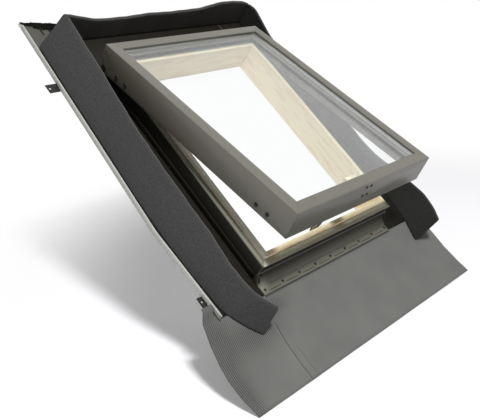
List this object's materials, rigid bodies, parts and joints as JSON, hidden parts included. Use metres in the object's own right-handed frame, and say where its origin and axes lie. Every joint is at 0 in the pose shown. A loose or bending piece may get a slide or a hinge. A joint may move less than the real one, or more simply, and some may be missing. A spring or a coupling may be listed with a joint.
{
  "type": "roof hatch",
  "caption": "Top-hung glazed roof hatch standing ajar on a clad pine curb, with side gutters, foam strips and a pleated apron at the foot.",
  "frame": {"origin": "centre of the four clip holes, on the roof plane, at the middle of the curb", "axes": "+X along the eaves to the right seen from below the apron, +Y up the slope, +Z out of the roof"},
  "size_m": [0.81, 0.9775, 0.23],
  "materials": {
    "pine": "clear-coated pine",
    "umbra_sheet": "coil-coated umbra grey, satin",
    "apron_sheet": "pleated coated sheet, matt grey",
    "foam": "open-cell foam, charcoal",
    "steel": "zinc-plated",
    "dark_steel": "dark-coated steel",
    "aluminium": "mill finish",
    "glass": "clear float glass",
    "rubber": "black rubber, matt",
    "black_plastic": "moulded plastic, matt",
    "pale_plastic": "moulded plastic, pale"
  },
  "bodies": {
    "frame": {"frame_head": "pine", "frame_sill": "pine", "frame_left_jamb": "pine", "frame_right_jamb": "pine", "frame_corner_screws": "steel", "head_cladding": "umbra_sheet", "left_cladding": "umbra_sheet", "right_cladding": "umbra_sheet", "sill_cladding": "umbra_sheet", "sill_end_cap_left": "umbra_sheet", "sill_end_cap_right": "umbra_sheet", "apron_rivets": "dark_steel", "sill_buffers": "pale_plastic", "left_flashing": "umbra_sheet", "right_flashing": "umbra_sheet", "head_flashing": "umbra_sheet", "head_film": "black_plastic", "apron": "apron_sheet", "left_foam_strip": "foam", "head_foam_strip": "foam", "right_foam_strip": "foam", "fixing_clips": "dark_steel", "hinge_bracket_left": "steel", "hinge_bracket_right": "steel", "hinge_bracket_screws": "steel", "hinge_pin_left": "dark_steel", "hinge_pin_right": "dark_steel", "stay_keeper": "steel", "keeper_screws": "steel"},
    "sash": {"sash_head_rail": "umbra_sheet", "sash_bottom_rail": "umbra_sheet", "sash_left_stile": "umbra_sheet", "sash_right_stile": "umbra_sheet", "sash_corner_cleats": "aluminium", "outer_pane": "glass", "inner_pane": "glass", "spacer_bar": "aluminium", "edge_sealant": "rubber", "outer_gasket": "rubber", "glazing_tape": "rubber", "sash_seal": "rubber", "hinge_leaf_left": "steel", "hinge_leaf_right": "steel", "stile_plugs": "black_plastic", "hinge_washers": "steel", "stay_bracket": "umbra_sheet", "stay_bracket_rivets": "dark_steel", "stay_pin": "steel"},
    "stay": {"stay_arm": "umbra_sheet"}
  },
  "joints": [
    {"name": "sash_hinge", "type": "hinge", "parent": "frame", "child": "sash", "pos_m": [0, 0.285, 0.038], "axis": [-1, 0, 0], "range_deg": [-12.4, 50]},
    {"name": "stay_swing", "type": "hinge", "parent": "sash", "child": "stay", "pos_m": [0, -0.23376, 0.16998], "axis": [1, 0, 0], "range_deg": [-3, 70]}
  ]
}
